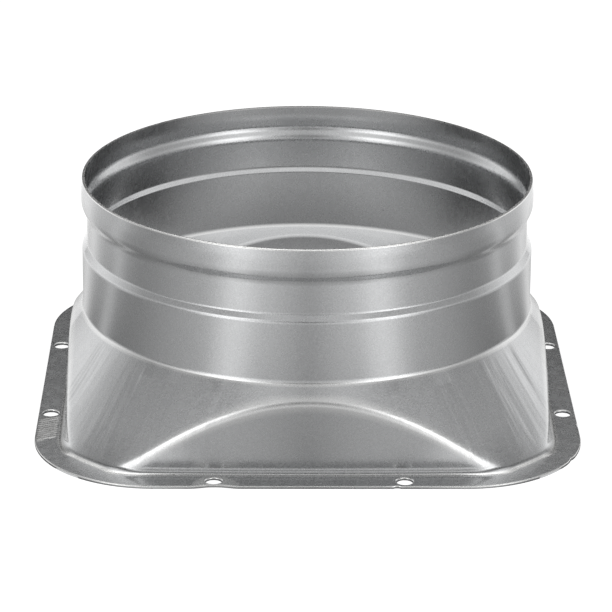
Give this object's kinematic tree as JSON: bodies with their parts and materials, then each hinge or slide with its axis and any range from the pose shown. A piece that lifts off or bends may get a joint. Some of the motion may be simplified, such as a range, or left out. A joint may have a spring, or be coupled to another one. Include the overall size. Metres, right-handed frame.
{
  "type": "square to round duct adapter",
  "caption": "Pressed sheet metal adapter that takes a square flanged opening to a round duct, with arched flat faces on its base and a banded collar.",
  "frame": {"origin": "centre of the flange's underside, on the collar's axis", "axes": "+Z along the collar's axis from the flange to the rim, X and Y along the flange's straight sides, with the dented edge facing -Y"},
  "size_m": [0.177, 0.177, 0.0743],
  "materials": {
    "zinc_coated_steel": "satin zinc coated sheet steel, lightly grained"
  },
  "bodies": {
    "root": {"adapter_shell": "zinc_coated_steel"}
  },
  "joints": []
}
